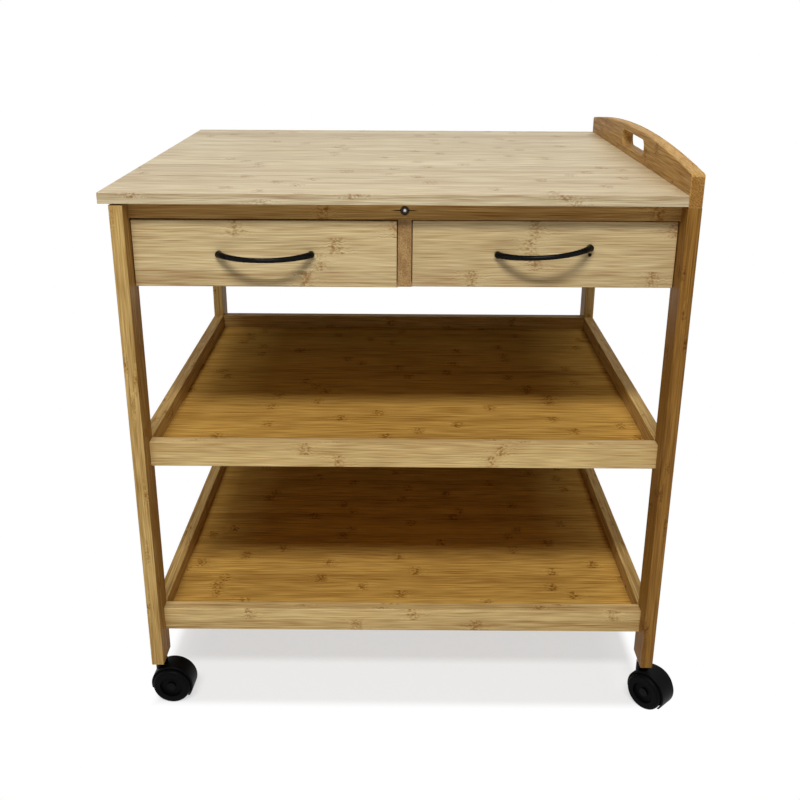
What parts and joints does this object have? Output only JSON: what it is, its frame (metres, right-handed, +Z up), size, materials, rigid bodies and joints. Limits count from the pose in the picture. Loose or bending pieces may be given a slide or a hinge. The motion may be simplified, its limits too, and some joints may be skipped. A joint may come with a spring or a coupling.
{
  "type": "serving trolley",
  "caption": "Bamboo kitchen trolley on casters with a table top, an arched push handle at one end, drawers under the top and open trays below for storing and serving.",
  "frame": {"origin": "on the floor, midway between the four caster stems", "axes": "+Z up, -Y towards the user at the drawer side, +X towards the end with the push handle"},
  "size_m": [0.6763, 0.5957, 0.6939],
  "materials": {
    "bamboo": "satin lacquered bamboo strips",
    "drawer_ply": "thin sealed plywood",
    "plain_beech": "bare planed hardwood",
    "black_pull": "satin black",
    "black_nylon": "moulded black nylon",
    "black_wheel": "moulded black nylon tread",
    "zinc_steel": "zinc plated"
  },
  "bodies": {
    "frame": {"back_apron": "bamboo", "barrel_nuts": "zinc_steel", "caster_sockets": "zinc_steel", "caster_stems": "zinc_steel", "dowels": "plain_beech", "drawer_divider": "bamboo", "drawer_runners": "plain_beech", "frame_bolts": "zinc_steel", "handle_panel": "bamboo", "left_apron": "bamboo", "leg_back_left": "bamboo", "leg_back_right": "bamboo", "leg_front_left": "bamboo", "leg_front_right": "bamboo", "low_tray_back_rail": "bamboo", "low_tray_front_rail": "bamboo", "low_tray_left_rail": "bamboo", "low_tray_panel": "bamboo", "low_tray_right_rail": "bamboo", "mid_tray_back_rail": "bamboo", "mid_tray_front_rail": "bamboo", "mid_tray_left_rail": "bamboo", "mid_tray_panel": "bamboo", "mid_tray_right_rail": "bamboo", "right_apron": "bamboo", "runner_screws": "zinc_steel", "table_top": "bamboo", "top_bracket_screws": "zinc_steel", "top_brackets": "zinc_steel", "upper_front_rail": "bamboo"},
    "left_drawer": {"left_drawer_back": "bamboo", "left_drawer_bottom": "drawer_ply", "left_drawer_front": "bamboo", "left_drawer_left_side": "bamboo", "left_drawer_pull": "black_pull", "left_drawer_pull_screws": "zinc_steel", "left_drawer_right_side": "bamboo"},
    "right_drawer": {"right_drawer_back": "bamboo", "right_drawer_bottom": "drawer_ply", "right_drawer_front": "bamboo", "right_drawer_left_side": "bamboo", "right_drawer_pull": "black_pull", "right_drawer_pull_screws": "zinc_steel", "right_drawer_right_side": "bamboo"},
    "caster_front_left": {"caster_front_left_hood": "black_nylon", "caster_front_left_axle": "zinc_steel"},
    "wheel_front_left_near": {"caster_front_left_near_wheel": "black_wheel"},
    "wheel_front_left_far": {"caster_front_left_far_wheel": "black_wheel"},
    "caster_front_right": {"caster_front_right_hood": "black_nylon", "caster_front_right_axle": "zinc_steel"},
    "wheel_front_right_near": {"caster_front_right_near_wheel": "black_wheel"},
    "wheel_front_right_far": {"caster_front_right_far_wheel": "black_wheel"},
    "caster_back_left": {"caster_back_left_hood": "black_nylon", "caster_back_left_axle": "zinc_steel"},
    "wheel_back_left_near": {"caster_back_left_near_wheel": "black_wheel"},
    "wheel_back_left_far": {"caster_back_left_far_wheel": "black_wheel"},
    "caster_back_right": {"caster_back_right_hood": "black_nylon", "caster_back_right_axle": "zinc_steel"},
    "wheel_back_right_near": {"caster_back_right_near_wheel": "black_wheel"},
    "wheel_back_right_far": {"caster_back_right_far_wheel": "black_wheel"}
  },
  "joints": [
    {"name": "left_drawer_slide", "type": "slide", "parent": "frame", "child": "left_drawer", "axis": [0, -1, 0], "range_m": [0, 0.3]},
    {"name": "right_drawer_slide", "type": "slide", "parent": "frame", "child": "right_drawer", "axis": [0, -1, 0], "range_m": [0, 0.3]},
    {"name": "front_left_swivel", "type": "hinge", "parent": "frame", "child": "caster_front_left", "pos_m": [-0.3075, -0.261, 0.05], "axis": [0, 0, 1], "continuous": true},
    {"name": "front_left_near_wheel_spin", "type": "hinge", "parent": "caster_front_left", "child": "wheel_front_left_near", "pos_m": [-0.29272, -0.26177, 0.0235], "axis": [-0.0523, -0.9986, 0], "continuous": true},
    {"name": "front_left_far_wheel_spin", "type": "hinge", "parent": "caster_front_left", "child": "wheel_front_left_far", "pos_m": [-0.29272, -0.26177, 0.0235], "axis": [-0.0523, -0.9986, 0], "continuous": true},
    {"name": "front_right_swivel", "type": "hinge", "parent": "frame", "child": "caster_front_right", "pos_m": [0.3075, -0.261, 0.05], "axis": [0, 0, 1], "continuous": true},
    {"name": "front_right_near_wheel_spin", "type": "hinge", "parent": "caster_front_right", "child": "wheel_front_right_near", "pos_m": [0.31759, -0.27182, 0.0235], "axis": [-0.7314, -0.682, 0], "continuous": true},
    {"name": "front_right_far_wheel_spin", "type": "hinge", "parent": "caster_front_right", "child": "wheel_front_right_far", "pos_m": [0.31759, -0.27182, 0.0235], "axis": [-0.7314, -0.682, 0], "continuous": true},
    {"name": "back_left_swivel", "type": "hinge", "parent": "frame", "child": "caster_back_left", "pos_m": [-0.3075, 0.261, 0.05], "axis": [0, 0, 1], "continuous": true},
    {"name": "back_left_near_wheel_spin", "type": "hinge", "parent": "caster_back_left", "child": "wheel_back_left_near", "pos_m": [-0.29538, 0.26949, 0.0235], "axis": [0.5736, -0.8192, 0], "continuous": true},
    {"name": "back_left_far_wheel_spin", "type": "hinge", "parent": "caster_back_left", "child": "wheel_back_left_far", "pos_m": [-0.29538, 0.26949, 0.0235], "axis": [0.5736, -0.8192, 0], "continuous": true},
    {"name": "back_right_swivel", "type": "hinge", "parent": "frame", "child": "caster_back_right", "pos_m": [0.3075, 0.261, 0.05], "axis": [0, 0, 1], "continuous": true},
    {"name": "back_right_near_wheel_spin", "type": "hinge", "parent": "caster_back_right", "child": "wheel_back_right_near", "pos_m": [0.32198, 0.26408, 0.0235], "axis": [0.2079, -0.9781, 0], "continuous": true},
    {"name": "back_right_far_wheel_spin", "type": "hinge", "parent": "caster_back_right", "child": "wheel_back_right_far", "pos_m": [0.32198, 0.26408, 0.0235], "axis": [0.2079, -0.9781, 0], "continuous": true}
  ]
}
